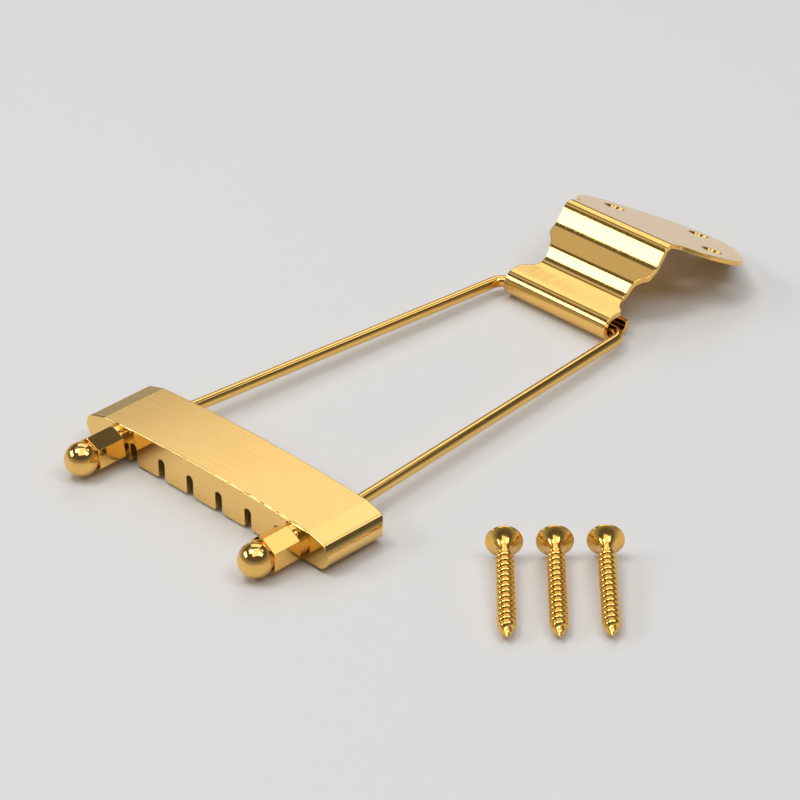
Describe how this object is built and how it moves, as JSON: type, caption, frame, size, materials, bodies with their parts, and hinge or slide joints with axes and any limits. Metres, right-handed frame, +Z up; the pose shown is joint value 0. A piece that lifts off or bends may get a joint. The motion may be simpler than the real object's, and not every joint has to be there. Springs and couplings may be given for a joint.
{
  "type": "trapeze tailpiece",
  "caption": "Trapeze tailpiece: a slotted string crossbar on a bent wire frame held by cap nuts, hinged in the rolled eye of a folded three-hole hanger plate, with its wood screws.",
  "frame": {"origin": "middle of the foot of the toothed skirt, on its back face, where the string ball ends bear", "axes": "+X along the crossbar, +Y from the crossbar back to the hanger, +Z up, away from the instrument's top"},
  "size_m": [0.1527, 0.2028, 0.0201],
  "materials": {
    "satin_gold": "gold plate, satin on top and polished at the ends and skirt",
    "polished_gold": "polished gold plate",
    "screw_gold": "polished gold plate"
  },
  "bodies": {
    "hanger": {"hanger": "polished_gold", "wood_screw_1": "screw_gold", "wood_screw_2": "screw_gold", "wood_screw_3": "screw_gold"},
    "frame": {"wire_frame": "polished_gold"},
    "crossbar": {"crossbar": "satin_gold"},
    "nut_left": {"cap_nut_left": "polished_gold"},
    "nut_right": {"cap_nut_right": "polished_gold"}
  },
  "joints": [
    {"name": "hanger_hinge", "type": "hinge", "parent": "hanger", "child": "frame", "pos_m": [0, 0.12523, 0.0027], "axis": [1, 0, 0], "range_deg": [-150, 175]},
    {"name": "crossbar_slide", "type": "slide", "parent": "frame", "child": "crossbar", "axis": [0, 1, 0], "range_m": [-0.00317, 0.00191]},
    {"name": "nut_left_turn", "type": "hinge", "parent": "crossbar", "child": "nut_left", "pos_m": [-0.03145, -0.0015, 0.00425], "axis": [0, 1, 0], "range_deg": [-1800, 1080]},
    {"name": "nut_right_turn", "type": "hinge", "parent": "crossbar", "child": "nut_right", "pos_m": [0.03145, -0.0015, 0.00425], "axis": [0, 1, 0], "range_deg": [-1800, 1080]}
  ],
  "couplings": [
    {"joint": "nut_left_turn", "follows": "crossbar_slide", "rad_per_m": 9894.8},
    {"joint": "nut_right_turn", "follows": "crossbar_slide", "rad_per_m": 9894.8}
  ]
}
